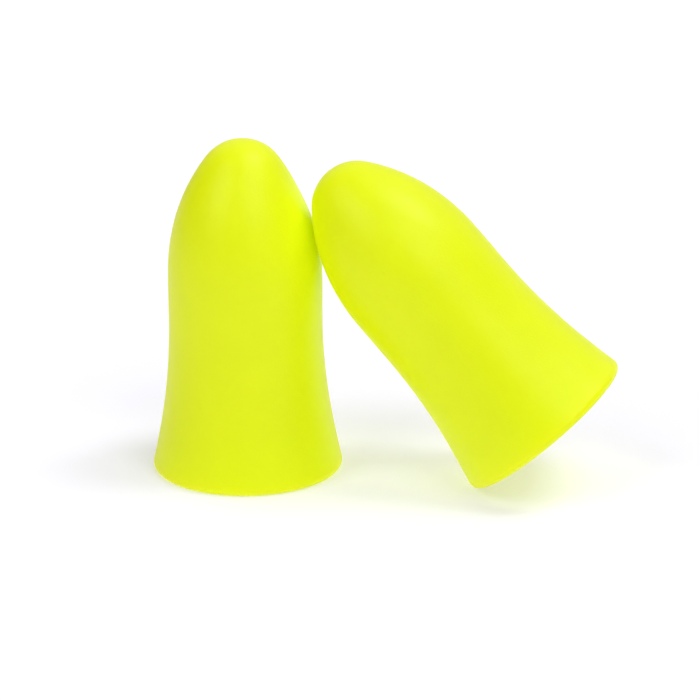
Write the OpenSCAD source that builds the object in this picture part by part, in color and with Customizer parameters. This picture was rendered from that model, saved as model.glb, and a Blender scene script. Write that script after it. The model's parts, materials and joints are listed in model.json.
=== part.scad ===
// A pair of bell-shaped foam ear plugs. One stands on its flat base, and the other
// stands on the rim of its base and leans its nose on the first one's shoulder.
// The origin is the centre of the standing plug's base, with +Z up. The second plug
// leans towards -X, in the XZ plane. Each plug is one solid, turned from one outline.

/* [Plug outline] */
// Length of a plug from its flat base to the end of its nose, in mm
plug_length = 25; // [24.5:0.1:25.5]
// Diameter of the flared base at its widest, in mm
base_d = 14.1; // [13.2:0.1:15]
// Diameter of the straight stem, in mm
stem_d = 11.24; // [10.8:0.02:11.6]
// Height at which the flare has died away and the straight stem starts, in mm
waist_height = 11.7; // [10:0.1:14]
// Height at which the straight stem ends and the shoulder starts to draw in, in mm
shoulder_height = 15.2; // [14.8:0.1:15.6]
// Radius of the shoulder's long curve towards the nose, in mm
shoulder_radius = 13.7; // [13.4:0.1:14.6]
// Radius that rounds the rim of the base, in mm
rim_radius = 0.5; // [0.2:0.05:0.8]

/* [Leaning plug] */
// Size of the leaning plug as a share of the standing one, as foam plugs vary a little
lean_scale = 0.984; // [0.97:0.002:1.03]
// Angle of the leaning plug from upright, in degrees
lean_angle = 41.3; // [36:0.1:44]
// Clearance between the leaning plug's nose and the shoulder that it leans on, in mm
nose_gap = 0.05; // [0.02:0.01:0.3]

/* [Hidden] */

foam_yellow = [0.87, 0.95, 0.1];
turn_steps = 128;
rim_steps = 10;
flare_steps = 16;
shoulder_steps = 24;
nose_steps = 20;

base_r = base_d / 2;
stem_r = stem_d / 2;

// The shoulder is an arc that leaves the stem upright, so its centre is level with the
// stem's top, past the axis.
shoulder_centre_r = stem_r - shoulder_radius;

// The nose is a ball centred on the axis that touches the shoulder's arc from inside, and
// whose top is the plug's end. That tangency gives its radius.
nose_rise = plug_length - shoulder_height;
nose_radius = (pow(shoulder_radius, 2) - pow(shoulder_centre_r, 2) - pow(nose_rise, 2))
            / (2 * (shoulder_radius - nose_rise));
nose_centre_height = plug_length - nose_radius;

// Angle above level at which the shoulder's arc hands over to the nose's ball
nose_angle = asin((nose_centre_height - shoulder_height) / (shoulder_radius - nose_radius));

// The flare is an arc hollow to the outside. It leaves the stem upright at the waist and
// touches the rim's rounding from above, which gives its radius.
rim_centre_r = base_r - rim_radius;
rim_inset = rim_centre_r - stem_r;
flare_rise = waist_height - rim_radius;
flare_radius = (pow(rim_inset, 2) + pow(flare_rise, 2) - pow(rim_radius, 2))
             / (2 * (rim_inset + rim_radius));

// Angle above level at which the rim's rounding hands over to the flare's arc
flare_angle = asin(flare_rise / (flare_radius + rim_radius));

// The leaning plug touches the surface it stands on with the rounding of its rim. That
// sets the height of the centre of its base.
lean_base_z = lean_scale
            * (rim_radius * (1 - cos(lean_angle)) + rim_centre_r * sin(lean_angle));

// Its shoulder's arc and the standing plug's are two circles in the XZ plane, which are
// nose_gap apart where they pass. That sets how far out the centre of its base is.
lean_centre_out = lean_scale
                * (shoulder_height * sin(lean_angle) + shoulder_centre_r * cos(lean_angle));
lean_centre_up = lean_scale
               * (shoulder_height * cos(lean_angle) - shoulder_centre_r * sin(lean_angle));
shoulders_rise = lean_base_z + lean_centre_up - shoulder_height;
shoulders_apart = shoulder_radius * (1 + lean_scale) + nose_gap;
shoulders_run = sqrt(pow(shoulders_apart, 2) - pow(shoulders_rise, 2));
lean_base_x = shoulder_centre_r + shoulders_run + lean_centre_out;

// Points along an arc, without its first, which the stretch before it ends on
function arc_points(centre, radius, from_angle, to_angle, steps) = [
    for (i = [1:steps])
        let (angle = from_angle + (to_angle - from_angle) * i / steps)
        centre + radius * [cos(angle), sin(angle)]
];

// Half the plug's outline, from the centre of its base, round its rim and up to its nose
plug_outline = concat(
    [[0, 0], [rim_centre_r, 0]],
    arc_points([rim_centre_r, rim_radius], rim_radius, -90, flare_angle, rim_steps),
    arc_points([stem_r + flare_radius, waist_height], flare_radius,
               180 + flare_angle, 180, flare_steps),
    [[stem_r, shoulder_height]],
    arc_points([shoulder_centre_r, shoulder_height], shoulder_radius,
               0, nose_angle, shoulder_steps),
    arc_points([0, nose_centre_height], nose_radius, nose_angle, 90, nose_steps)
);

// One whole plug, standing on its base at the origin
module plug() {
    rotate_extrude($fn = turn_steps)
        polygon(plug_outline);
}

// The plug that stands on its flat base
module upright_plug() {
    color(foam_yellow)
        plug();
}

// The plug that stands on the rim of its base and leans on the other one
module leaning_plug() {
    color(foam_yellow)
        translate([lean_base_x, 0, lean_base_z])
            rotate([0, -lean_angle, 0])
                scale(lean_scale)
                    plug();
}

upright_plug();
leaning_plug();
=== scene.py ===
"""Looks of a pair of bell-shaped foam ear plugs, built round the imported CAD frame.

Each plug is one moulded body of slow-recovery foam. Its mesh follows the CAD outline, which is
made of arcs, and adds what the foam adds: a slightly uneven and fuller skin, pinholes where
bubbles met the mould, an open-celled face on the base, where the foam was poured, and the dent
in the nose that the other plug leans on. Metres, +Z up.
"""

import json
import math

import bpy
import numpy as np
from mathutils import Matrix, Vector, noise


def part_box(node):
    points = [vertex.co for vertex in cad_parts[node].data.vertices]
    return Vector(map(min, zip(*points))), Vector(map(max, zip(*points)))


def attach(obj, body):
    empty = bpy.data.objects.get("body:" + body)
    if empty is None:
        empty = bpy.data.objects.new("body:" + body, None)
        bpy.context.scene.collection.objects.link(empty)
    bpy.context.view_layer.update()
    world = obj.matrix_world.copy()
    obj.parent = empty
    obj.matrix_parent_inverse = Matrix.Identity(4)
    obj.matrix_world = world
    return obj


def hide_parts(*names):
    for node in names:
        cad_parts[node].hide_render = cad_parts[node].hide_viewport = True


MM = 0.001

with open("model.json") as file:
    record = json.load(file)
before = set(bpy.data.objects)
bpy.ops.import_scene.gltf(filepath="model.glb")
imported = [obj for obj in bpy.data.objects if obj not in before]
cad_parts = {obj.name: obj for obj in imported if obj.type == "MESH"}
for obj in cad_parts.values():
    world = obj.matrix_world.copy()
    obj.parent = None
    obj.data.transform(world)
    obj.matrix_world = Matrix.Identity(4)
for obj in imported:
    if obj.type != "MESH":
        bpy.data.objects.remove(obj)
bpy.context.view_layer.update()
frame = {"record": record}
mounts = {mount["name"]: mount for mount in frame["record"]["mounts"]}


# ---- Outline -------------------------------------------------------------------------------

# The overall sizes come from the frame. The three that it doesn't give are the CAD's own.
SHOULDER_HEIGHT = 15.2 * MM
SHOULDER_RADIUS = 13.7 * MM
RIM_RADIUS = 0.5 * MM

low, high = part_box("upright_plug")
PLUG_LENGTH = high.z - low.z
BASE_RADIUS = high.x
STEM_RADIUS = mounts["upright_nose"]["dims"]["r_mm"] * MM
WAIST_HEIGHT = PLUG_LENGTH - mounts["upright_nose"]["dims"]["length_mm"] * MM

SHOULDER_CENTRE_R = STEM_RADIUS - SHOULDER_RADIUS
NOSE_RISE = PLUG_LENGTH - SHOULDER_HEIGHT
NOSE_RADIUS = (SHOULDER_RADIUS**2 - SHOULDER_CENTRE_R**2 - NOSE_RISE**2) / (
    2 * (SHOULDER_RADIUS - NOSE_RISE)
)
NOSE_CENTRE = PLUG_LENGTH - NOSE_RADIUS
RIM_CENTRE_R = BASE_RADIUS - RIM_RADIUS
RIM_INSET = RIM_CENTRE_R - STEM_RADIUS
FLARE_RISE = WAIST_HEIGHT - RIM_RADIUS
FLARE_RADIUS = (RIM_INSET**2 + FLARE_RISE**2 - RIM_RADIUS**2) / (2 * (RIM_INSET + RIM_RADIUS))

# Angles above level at which one arc hands over to the next
NOSE_ANGLE = math.asin((NOSE_CENTRE - SHOULDER_HEIGHT) / (SHOULDER_RADIUS - NOSE_RADIUS))
FLARE_ANGLE = math.asin(FLARE_RISE / (FLARE_RADIUS + RIM_RADIUS))


def arc(centre_r, centre_z, radius, start, end, hollow=False):
    """An outline stretch: its length, and a function from a share of it to place and normal.

    The function gives r, z, normal r and normal z. The angles are in radians above level.
    """
    side = -1 if hollow else 1

    def at(share):
        angle = start + (end - start) * share
        cosine, sine = np.cos(angle), np.sin(angle)
        return centre_r + radius * cosine, centre_z + radius * sine, side * cosine, side * sine

    return radius * abs(end - start), at


def line(start_r, start_z, end_r, end_z):
    """A straight outline stretch, with the outside on its left as it runs from nose to base."""
    out, up = end_r - start_r, end_z - start_z
    length = math.hypot(out, up)
    normal_r, normal_z = -up / length, out / length

    def at(share):
        return start_r + out * share, start_z + up * share, normal_r, normal_z

    return length, at


nose = arc(0, NOSE_CENTRE, NOSE_RADIUS, math.pi / 2, NOSE_ANGLE)
shoulder = arc(SHOULDER_CENTRE_R, SHOULDER_HEIGHT, SHOULDER_RADIUS, NOSE_ANGLE, 0)
stem = line(STEM_RADIUS, SHOULDER_HEIGHT, STEM_RADIUS, WAIST_HEIGHT)
flare_centre_r = STEM_RADIUS + FLARE_RADIUS
flare_end = math.pi + FLARE_ANGLE
flare = arc(flare_centre_r, WAIST_HEIGHT, FLARE_RADIUS, math.pi, flare_end, hollow=True)
rim = arc(RIM_CENTRE_R, RIM_RADIUS, RIM_RADIUS, FLARE_ANGLE, -math.pi / 2)
base = line(RIM_CENTRE_R, 0, 0, 0)


# ---- Mesh ----------------------------------------------------------------------------------

# The nose and the base are square grids bent into round caps, so no point has a fan of
# thin triangles. The rings between them have a point for each on a grid's border.
CAP_CELLS = 96
SIDE_STEP = 0.13 * MM
RIM_STEPS = 9


def cap_grid(cells):
    """How far out each point of a square grid bent into a disc is, from 0 to 1, and its angle."""
    x, y = np.meshgrid(np.linspace(-1, 1, cells + 1), np.linspace(-1, 1, cells + 1))
    sideways = np.abs(x) >= np.abs(y)
    major = np.where(sideways, x, y)
    minor = np.where(sideways, y, x)
    turn = math.pi / 4 * np.divide(minor, major, out=np.zeros_like(x), where=major != 0)
    angle = np.where(sideways, turn, math.pi / 2 - turn) + np.where(major < 0, math.pi, 0)
    return np.abs(major), angle


def border(cells):
    """Rows and columns of a grid's outer points, once round, from its first corner."""
    first, last = np.zeros(cells, int), np.full(cells, cells)
    rising = np.arange(cells)
    falling = cells - rising
    rows = np.concatenate([first, rising, last, falling])
    columns = np.concatenate([rising, last, falling, first])
    return rows, columns


def turned(r, z, normal_r, normal_z, angle):
    """Points and normals of outline places turned round the axis."""
    cosine, sine = np.cos(angle), np.sin(angle)
    points = np.stack([r * cosine, r * sine, z + 0 * angle], -1)
    normals = np.stack([normal_r * cosine, normal_r * sine, normal_z + 0 * angle], -1)
    return points.reshape(-1, 3), normals.reshape(-1, 3)


def side_rings():
    """Outline places of the rings between the nose's cap and the base's, from top to bottom.

    The rim's last ring is left out, because the border of the base's cap is there.
    """
    for length, at in (shoulder, stem, flare):
        steps = math.ceil(length / SIDE_STEP)
        yield from (at(step / steps) for step in range(1, steps + 1))
    yield from (rim[1](step / RIM_STEPS) for step in range(1, RIM_STEPS))


def band(above, below):
    """Faces between two rings of points, which are given by their numbers."""
    return np.stack([above, below, np.roll(below, -1), np.roll(above, -1)], -1)


def plug_grid():
    """Points, normals and faces of one plug, standing on its base at the origin."""
    share, angle = cap_grid(CAP_CELLS)
    edge = border(CAP_CELLS)
    number = np.arange(share.size).reshape(share.shape)
    corners = [number[:-1, :-1], number[:-1, 1:], number[1:, 1:], number[1:, :-1]]
    cap_faces = np.stack(corners, -1).reshape(-1, 4)

    parts = [turned(*nose[1](share), angle)]
    faces = [cap_faces]
    above = number[edge]
    count = share.size
    for place in side_rings():
        parts.append(turned(*place, angle[edge]))
        below = np.arange(count, count + len(above))
        faces.append(band(above, below))
        above = below
        count += len(above)

    parts.append(turned(*base[1](1 - share), angle))
    faces.append(band(above, number[edge] + count))
    faces.append(cap_faces[:, ::-1] + count)
    points, normals = (np.concatenate(kind) for kind in zip(*parts))
    return points, normals, np.concatenate(faces)


# ---- Foam ----------------------------------------------------------------------------------

# The skin: long waves and a fine grain, which die away towards the plug's base
WAVE_SIZE = 6 * MM
WAVE_DEPTH = 0.025 * MM
GRAIN_SIZE = 0.9 * MM
GRAIN_DEPTH = 0.005 * MM
FLAT_REACH = 1.5 * MM

# The base's open-celled face fades out over this height, on the rim.
BASE_FADE = RIM_RADIUS / 2

# Stem and flare are this much fuller than the CAD's. It grows from the rim up and fades out
# below FULL_TOP.
FULLNESS = 0.045 * MM
FULL_FROM = 0.5 * MM
FULL_RISE = 2.5 * MM
FULL_TOP = 18 * MM
FULL_FADE = 4 * MM

# Pores: the foam is split into cells about as wide as the spacing, and this share of them has
# a pore in its middle. The radii are those of the smallest pore and the largest.
SKIN_PORES = {"spacing": 1.9 * MM, "radii": (0.10 * MM, 0.15 * MM), "share": 0.5}
SKIN_PORE_DEPTH = 0.05 * MM
BASE_PORES = {"spacing": 0.8 * MM, "radii": (0.16 * MM, 0.36 * MM), "share": 0.8}
BASE_PORE_DEPTH = 0.07 * MM
LOT_SCALE = 7.3

# Where the plug touches something, the skin fades to the CAD's. Where that is the other plug,
# it swells a little, to close the gap that the CAD leaves.
CONTACT_REACH = 2.4 * MM
TOUCH_REACH = 1.5 * MM
TOUCH_SWELL = 0.035 * MM

# The dent above the contact, in the plug that is leant on, and how far its nose bends away
DENT_OUT = STEM_RADIUS * 0.8
DENT_HEIGHT = 21.0 * MM
DENT_REACH = 2.6 * MM
DENT_DEPTH = 0.24 * MM
BEND = 0.09 * MM


def pore_depth(point, spacing, radii, share):
    """How deep in a pore a point is, from 0 outside to 1 in the middle of the pore.

    Each cell draws a lot from 0 to 1, which says whether it has a pore, and how wide.
    """
    gaps, centres = noise.voronoi(point / spacing)
    lot = (1 + noise.cell(centres[0] * LOT_SCALE)) / 2
    if lot > share:
        return 0.0
    radius = radii[0] + (radii[1] - radii[0]) * (lot / share) ** 2
    away = gaps[0] * spacing / radius
    return max(0.0, 1 - away * away) ** 1.5


def eased(share):
    """0 for a share of 0 or less, 1 for a share of 1 or more, and a smooth rise between them."""
    part = min(1.0, max(0.0, share))
    return part * part * (3 - 2 * part)


def hill(distance, reach):
    """1 at a distance of 0, falling away smoothly to almost nothing at twice the reach."""
    return math.exp(-((distance / reach) ** 2))


def foam_surface(points, normals, seed, touching, leant_on):
    """Points moved as the foam's skin, pores and dent do, pore depths, and 1 for the base's face.

    seed shifts the noise, so that the two plugs differ. touching are the places where the plug
    touches something, first the one where it touches the other plug. leant_on is True for the
    plug that the other one leans on: its nose gives way a little.
    """
    moved = points.copy()
    pores = np.zeros(len(points))
    dent = Vector((DENT_OUT, 0, DENT_HEIGHT))
    on_base = np.clip(1 - points[:, 2] / BASE_FADE, 0, 1)
    for index, (x, y, z) in enumerate(points):
        here = Vector((x, y, z))
        place = here + seed
        waves = WAVE_DEPTH * noise.noise(place / WAVE_SIZE)
        grain = GRAIN_DEPTH * noise.noise(place / GRAIN_SIZE)
        if on_base[index] > 0.5:
            pores[index] = pore_depth(place, **BASE_PORES)
            pore = BASE_PORE_DEPTH * pores[index]
        else:
            pores[index] = pore_depth(place, **SKIN_PORES)
            pore = SKIN_PORE_DEPTH * pores[index]
        full = FULLNESS * eased((z - FULL_FROM) / FULL_RISE) * eased((FULL_TOP - z) / FULL_FADE)
        depth = (waves + grain) * min(1.0, z / FLAT_REACH) + pore - full
        if leant_on:
            depth += DENT_DEPTH * hill((here - dent).length, DENT_REACH)
            up_nose = max(0.0, (z - WAIST_HEIGHT) / (PLUG_LENGTH - WAIST_HEIGHT))
            moved[index, 0] -= BEND * up_nose**2
        free = 1.0
        for spot in touching:
            free *= eased((here - spot).length / CONTACT_REACH)
        swell = TOUCH_SWELL * hill((here - touching[0]).length, TOUCH_REACH)
        moved[index] += normals[index] * (swell - depth * free)
    return moved, pores, on_base


def add_attribute(mesh, name, values):
    """Gives each point of the mesh a value, which a material reads by its name."""
    mesh.attributes.new(name, "FLOAT", "POINT").data.foreach_set("value", values.astype(np.float32))


def make_plug(name, body, node, material, base_mount, size, seed, touching, leant_on):
    """One plug, placed by the mount at its base, riding on its CAD body in place of its CAD node."""
    nose_way = -Vector(base_mount["axis"])
    turn = Vector((0, 0, 1)).rotation_difference(nose_way).to_matrix().to_4x4()
    place = Matrix.Translation(base_mount["pos_m"]) @ turn @ Matrix.Scale(size, 4)
    local_touching = [place.inverted() @ Vector(spot) for spot in touching]

    points, normals, faces = plug_grid()
    points, pores, on_base = foam_surface(points, normals, seed, local_touching, leant_on)
    mesh = bpy.data.meshes.new(name)
    mesh.from_pydata(points.tolist(), [], faces.tolist())
    mesh.shade_smooth()
    add_attribute(mesh, "pore", pores)
    add_attribute(mesh, "cut_face", on_base)
    mesh.transform(place)
    mesh.materials.append(material)
    mesh.update()

    plug = bpy.data.objects.new(name, mesh)
    bpy.context.scene.collection.objects.link(plug)
    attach(plug, body)
    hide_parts(node)


# ---- Materials -----------------------------------------------------------------------------

FOAM_LIGHT = (0.76, 0.885, 0.003, 1)
FOAM_DEEP = (0.745, 0.87, 0.002, 1)
# Painted shade: the colour that the pores and the base's open cells are darkened towards, as shade
# in these hollows.
PORE_PAINTED_SHADE_COLOUR = (0.62, 0.72, 0.002, 1)

# A range is the part of a pattern's values that is spread over the whole of what it drives.
MOTTLE_SIZE = 2.5 * MM
MOTTLE_RANGE = (0.35, 0.65)
# Painted shade: how far the pores and the base's open cells go over to that colour.
SKIN_PORE_PAINTED_SHADE = 0.28
BASE_CELL_PAINTED_SHADE = 0.5

# How far light spreads under the skin. Blue is soaked up soonest.
SPREAD = 2.5 * MM
SPREAD_BY_COLOUR = (1.0, 1.0, 0.15)
SPREAD_SHARE = 0.8

# Painted light: an even glow that stands for the dye's fluorescence, which shows most in the shade.
FOAM_GLOW = (1, 0.75, 0, 1)
FOAM_GLOW_STRENGTH = 0.09

FOAM_GLOSS = 0.25
FOAM_ROUGHNESS = (0.40, 0.48)
ROUGHNESS_SIZE = 0.6 * MM
ROUGHNESS_RANGE = (0.3, 0.7)

# Hollows that are in the material only, not in the mesh. Bump is how strongly they show.
CELL_RANGE = (0.15, 0.55)
BASE_CELL_SIZE = 0.24 * MM
BASE_CELL_DEPTH = 0.06 * MM
BASE_CELL_BUMP = 0.8
SKIN_CELL_SIZE = 0.16 * MM
SKIN_CELL_DEPTH = 0.02 * MM
SKIN_CELL_BUMP = 0.2
SKIN_GRAIN_SIZE = 0.5 * MM
SKIN_GRAIN_DEPTH = 0.03 * MM
SKIN_GRAIN_BUMP = 0.25

PAPER_COLOUR = (0.69, 0.68, 0.77, 1)
PAPER_GLOW_STRENGTH = 0.355
WHITE = (1, 1, 1, 1)


class NodeMaterial:
    """A material with a Principled shader, and a short way to add each other kind of node."""

    def __init__(self, name):
        self.material = bpy.data.materials.new(name)
        self.material.use_nodes = True
        self.nodes = self.material.node_tree.nodes
        self.link = self.material.node_tree.links.new
        self.nodes.clear()
        out = self.nodes.new("ShaderNodeOutputMaterial")
        self.shader = self.nodes.new("ShaderNodeBsdfPrincipled")
        self.link(self.shader.outputs["BSDF"], out.inputs["Surface"])

    def texture(self, kind, size):
        """A texture node, with a pattern about size across that stays put on the object."""
        node = self.nodes.new(kind)
        node.inputs["Scale"].default_value = 1 / size
        where = self.nodes.new("ShaderNodeTexCoord")
        self.link(where.outputs["Object"], node.inputs["Vector"])
        return node

    def noise(self, size, detail):
        """Soft random shades."""
        node = self.texture("ShaderNodeTexNoise", size)
        node.inputs["Detail"].default_value = detail
        return node.outputs["Fac"]

    def cells(self, size):
        """Open cells packed side by side: 1 in the middle of each, 0 on the walls between them."""
        node = self.texture("ShaderNodeTexVoronoi", size)
        return self.ranged(node.outputs["Distance"], CELL_RANGE, (1, 0))

    def attribute(self, name):
        """The values that add_attribute gave to the mesh."""
        node = self.nodes.new("ShaderNodeAttribute")
        node.attribute_name = name
        return node.outputs["Fac"]

    def ranged(self, source, from_range, to_range):
        """source, with one range of it spread over another and nothing past its ends."""
        node = self.nodes.new("ShaderNodeMapRange")
        self.link(source, node.inputs["Value"])
        for socket, value in zip(node.inputs[1:5], from_range + to_range):
            socket.default_value = value
        return node.outputs["Result"]

    def product(self, first, second):
        """One shade times another."""
        node = self.nodes.new("ShaderNodeMath")
        node.operation = "MULTIPLY"
        self.link(first, node.inputs[0])
        self.link(second, node.inputs[1])
        return node.outputs["Value"]

    def tinted(self, colour, tint, share):
        """colour, which is a constant or a socket, going over to tint as share goes up to 1."""
        node = self.nodes.new("ShaderNodeMix")
        node.data_type = "RGBA"
        self.link(share, node.inputs["Factor"])
        first, second = (socket for socket in node.inputs if socket.type == "RGBA")
        second.default_value = tint
        if isinstance(colour, tuple):
            first.default_value = colour
        else:
            self.link(colour, first)
        return next(socket for socket in node.outputs if socket.type == "RGBA")

    def dented(self, hollow, depth, strength, under=None):
        """The surface's direction with hollows pressed into it, on top of those in under."""
        node = self.nodes.new("ShaderNodeBump")
        node.invert = True
        node.inputs["Strength"].default_value = strength
        node.inputs["Distance"].default_value = depth
        self.link(hollow, node.inputs["Height"])
        if under:
            self.link(under, node.inputs["Normal"])
        return node.outputs["Normal"]


def foam_material():
    """Fluorescent yellow-green foam: satin, softly translucent, finely mottled, with pores. Painted
    shade darkens the pores and the base's open cells, and an even glow adds painted light.
    """
    foam = NodeMaterial("fluorescent_foam")
    inputs = foam.shader.inputs
    inputs["Subsurface Weight"].default_value = SPREAD_SHARE
    inputs["Subsurface Radius"].default_value = SPREAD_BY_COLOUR
    inputs["Subsurface Scale"].default_value = SPREAD
    inputs["Specular IOR Level"].default_value = FOAM_GLOSS
    # Painted light: an even glow all over the foam.
    inputs["Emission Color"].default_value = FOAM_GLOW
    inputs["Emission Strength"].default_value = FOAM_GLOW_STRENGTH

    mottle = foam.ranged(foam.noise(MOTTLE_SIZE, detail=3), MOTTLE_RANGE, (0, 1))
    pore_painted_shade = foam.ranged(foam.attribute("pore"), (0, 1), (0, SKIN_PORE_PAINTED_SHADE))
    open_cells = foam.product(foam.cells(BASE_CELL_SIZE), foam.attribute("cut_face"))
    cell_painted_shade = foam.ranged(open_cells, (0, 1), (0, BASE_CELL_PAINTED_SHADE))
    colour = foam.tinted(FOAM_LIGHT, FOAM_DEEP, mottle)
    # Painted shade: the pores and the base's open cells are darkened, as shade in these hollows.
    colour = foam.tinted(colour, PORE_PAINTED_SHADE_COLOUR, pore_painted_shade)
    colour = foam.tinted(colour, PORE_PAINTED_SHADE_COLOUR, cell_painted_shade)
    foam.link(colour, inputs["Base Color"])

    unevenness = foam.noise(ROUGHNESS_SIZE, detail=2)
    roughness = foam.ranged(unevenness, ROUGHNESS_RANGE, FOAM_ROUGHNESS)
    foam.link(roughness, inputs["Roughness"])

    skin_cells = foam.cells(SKIN_CELL_SIZE)
    grain = foam.noise(SKIN_GRAIN_SIZE, detail=4)
    normal = foam.dented(open_cells, BASE_CELL_DEPTH, BASE_CELL_BUMP)
    normal = foam.dented(skin_cells, SKIN_CELL_DEPTH, SKIN_CELL_BUMP, normal)
    normal = foam.dented(grain, SKIN_GRAIN_DEPTH, SKIN_GRAIN_BUMP, normal)
    foam.link(normal, inputs["Normal"])
    return foam.material


def paper_material():
    """White studio paper, lit from below as well: it stays white, and shadows on it stay pale."""
    paper = NodeMaterial("white_paper")
    inputs = paper.shader.inputs
    inputs["Base Color"].default_value = PAPER_COLOUR
    inputs["Roughness"].default_value = 1.0
    inputs["Specular IOR Level"].default_value = 0.0
    inputs["Emission Color"].default_value = WHITE
    inputs["Emission Strength"].default_value = PAPER_GLOW_STRENGTH
    return paper.material


# ---- Plugs ---------------------------------------------------------------------------------

foam = foam_material()
upright_base = mounts["upright_base"]
leaning_base = mounts["leaning_base"]
LEAN_SCALE = mounts["leaning_nose"]["dims"]["r_mm"] / mounts["upright_nose"]["dims"]["r_mm"]


def in_plug(base_mount, size, out, up):
    """Where a point of a plug's outline lies, out from its axis towards +X and up from its base."""
    up_way = -Vector(base_mount["axis"])
    out_way = Vector((up_way.z, 0, -up_way.x))
    return Vector(base_mount["pos_m"]) + (out_way * out + up_way * up) * size


# The plugs touch on the line between the centres of the two shoulders' arcs.
upright_centre = in_plug(upright_base, 1, SHOULDER_CENTRE_R, SHOULDER_HEIGHT)
leaning_centre = in_plug(leaning_base, LEAN_SCALE, -SHOULDER_CENTRE_R, SHOULDER_HEIGHT)
between = (leaning_centre - upright_centre).normalized()
nose_contact = upright_centre + between * SHOULDER_RADIUS
rim_centre = in_plug(leaning_base, LEAN_SCALE, -RIM_CENTRE_R, RIM_RADIUS)
heel_contact = Vector((rim_centre.x, 0, 0))

make_plug(
    name="upright_ear_plug",
    body="upright",
    node="upright_plug",
    material=foam,
    base_mount=upright_base,
    size=1,
    seed=Vector((0.31, 0.17, 0.05)),
    touching=[nose_contact],
    leant_on=True,
)
make_plug(
    name="leaning_ear_plug",
    body="leaning",
    node="leaning_plug",
    material=foam,
    base_mount=leaning_base,
    size=LEAN_SCALE,
    seed=Vector((0.83, 0.49, 0.27)),
    touching=[nose_contact, heel_contact],
    leant_on=False,
)


# ---- Studio --------------------------------------------------------------------------------

FLOOR_SIZE = 4.0
FLOOR_DROP = 0.02 * MM
BOUNCES = 12

scene = bpy.context.scene
scene.view_settings.view_transform = "Standard"
scene.cycles.diffuse_bounces = BOUNCES


def studio_floor():
    """A sheet of paper, a hair below the plugs so that no faces lie in one plane."""
    half = FLOOR_SIZE / 2
    corners = [(-half, -half, 0), (half, -half, 0), (half, half, 0), (-half, half, 0)]
    mesh = bpy.data.meshes.new("studio_floor")
    mesh.from_pydata(corners, [], [(0, 1, 2, 3)])
    mesh.materials.append(paper_material())
    floor = bpy.data.objects.new("studio_floor", mesh)
    floor.location.z = -FLOOR_DROP
    scene.collection.objects.link(floor)


def studio_world():
    """White to the camera, and dark to everything else: the lights and the paper do the lighting."""
    world = bpy.data.worlds.new("studio")
    world.use_nodes = True
    nodes, links = world.node_tree.nodes, world.node_tree.links
    nodes.clear()
    out = nodes.new("ShaderNodeOutputWorld")
    background = nodes.new("ShaderNodeBackground")
    background.inputs["Color"].default_value = WHITE
    path = nodes.new("ShaderNodeLightPath")
    links.new(path.outputs["Is Camera Ray"], background.inputs["Strength"])
    links.new(background.outputs["Background"], out.inputs["Surface"])
    return world


def way_to(azimuth, elevation):
    """Unit vector from the object. Azimuth 0 is at -Y, and 90 at +X. In degrees."""
    turn, rise = math.radians(azimuth), math.radians(elevation)
    level = math.cos(rise)
    return Vector((math.sin(turn) * level, -math.cos(turn) * level, math.sin(rise)))


def soft_light(name, azimuth, elevation, width, strength):
    """A distant soft light. Its place in the sky, and how wide it looks, are in degrees."""
    light = bpy.data.lights.new(name, "SUN")
    light.angle = math.radians(width)
    light.energy = strength
    lamp = bpy.data.objects.new(name, light)
    lamp.rotation_euler = way_to(azimuth, elevation).to_track_quat("Z", "Y").to_euler()
    scene.collection.objects.link(lamp)


studio_floor()
scene.world = studio_world()

# Name, azimuth, elevation, width and strength
soft_light("key_light", 100, 62, 20, 0.95)
soft_light("top_light", 70, 75, 15, 0.36)
soft_light("front_left_light", -40, 40, 35, 0.95)
soft_light("front_right_light", 40, 40, 35, 0.93)
soft_light("back_light", 180, 35, 100, 1.2)


# ---- Camera --------------------------------------------------------------------------------

LOOK_AT = Vector((7.52, 1.49, 8.99)) * MM
CAMERA_AZIMUTH = 11.2
CAMERA_ELEVATION = 17.74
CAMERA_DISTANCE = 0.2
CAMERA_ROLL = -0.22
CAMERA_LENS = 139.0
CAMERA_CLIP_START = 0.01

camera_way = way_to(CAMERA_AZIMUTH, CAMERA_ELEVATION)
camera_data = bpy.data.cameras.new("camera")
camera_data.lens = CAMERA_LENS
camera_data.clip_start = CAMERA_CLIP_START
camera = bpy.data.objects.new("camera", camera_data)
camera.rotation_mode = "QUATERNION"
camera.location = LOOK_AT + camera_way * CAMERA_DISTANCE
aim = (-camera_way).to_track_quat("-Z", "Y").to_matrix()
roll = Matrix.Rotation(math.radians(CAMERA_ROLL), 3, "Z")
camera.rotation_quaternion = (aim @ roll).to_quaternion()
scene.collection.objects.link(camera)
scene.camera = camera
